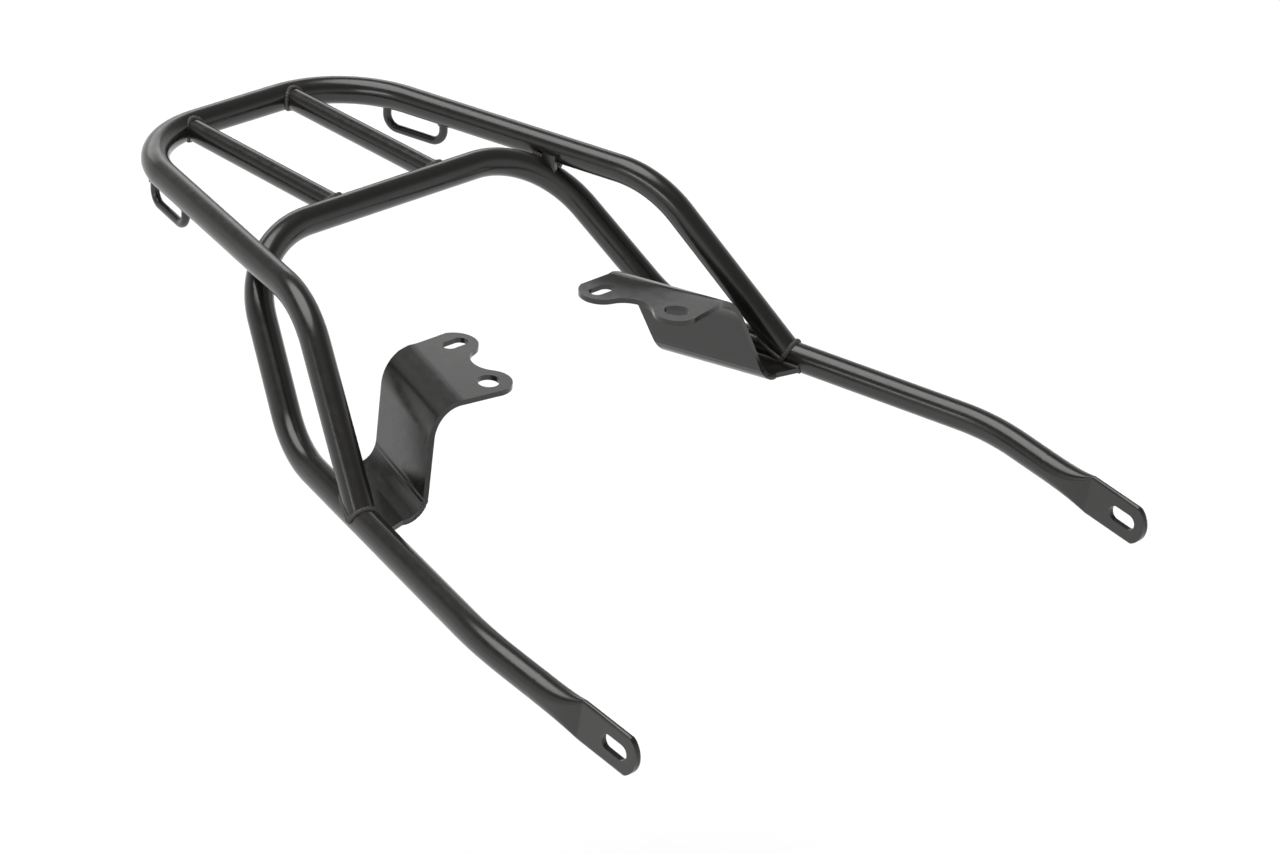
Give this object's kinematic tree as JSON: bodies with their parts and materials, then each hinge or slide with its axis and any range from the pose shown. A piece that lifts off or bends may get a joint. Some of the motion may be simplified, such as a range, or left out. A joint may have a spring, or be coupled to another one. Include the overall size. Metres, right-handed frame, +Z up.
{
  "type": "motorcycle rear luggage rack",
  "caption": "Welded tube rack with a flat platform, tie-down loops, bent-plate brackets and forward arms with flattened slotted ends, bolted over a motorcycle's tail",
  "frame": {"origin": "midway between the two rear bracket slots, on the underside of the bracket flanges, which is the face that seats on the motorcycle", "axes": "+X forward along the motorcycle towards the slotted arm ends, +Y to the left, +Z up"},
  "size_m": [0.5466, 0.3902, 0.1226],
  "materials": {
    "black_powder_coat": "satin black powder coat on steel",
    "weld_powder_coat": "satin black powder coat over weld beads"
  },
  "bodies": {
    "root": {"hoop_tube": "black_powder_coat", "support_tube": "black_powder_coat", "platform_bar_left": "black_powder_coat", "platform_bar_right": "black_powder_coat", "tie_loop_left": "black_powder_coat", "tie_loop_right": "black_powder_coat", "bracket_left": "black_powder_coat", "bracket_right": "black_powder_coat", "crossing_gusset_left": "black_powder_coat", "crossing_gusset_right": "black_powder_coat", "rear_bar_welds": "weld_powder_coat", "crossbar_welds": "weld_powder_coat", "loop_welds_left": "weld_powder_coat", "loop_welds_right": "weld_powder_coat", "crossing_weld_left": "weld_powder_coat", "crossing_weld_right": "weld_powder_coat", "hoop_foot_weld_left": "weld_powder_coat", "hoop_foot_weld_right": "weld_powder_coat", "bracket_seam_top_left": "weld_powder_coat", "bracket_seam_top_right": "weld_powder_coat", "bracket_seam_under_left": "weld_powder_coat", "bracket_seam_under_right": "weld_powder_coat"}
  },
  "joints": []
}
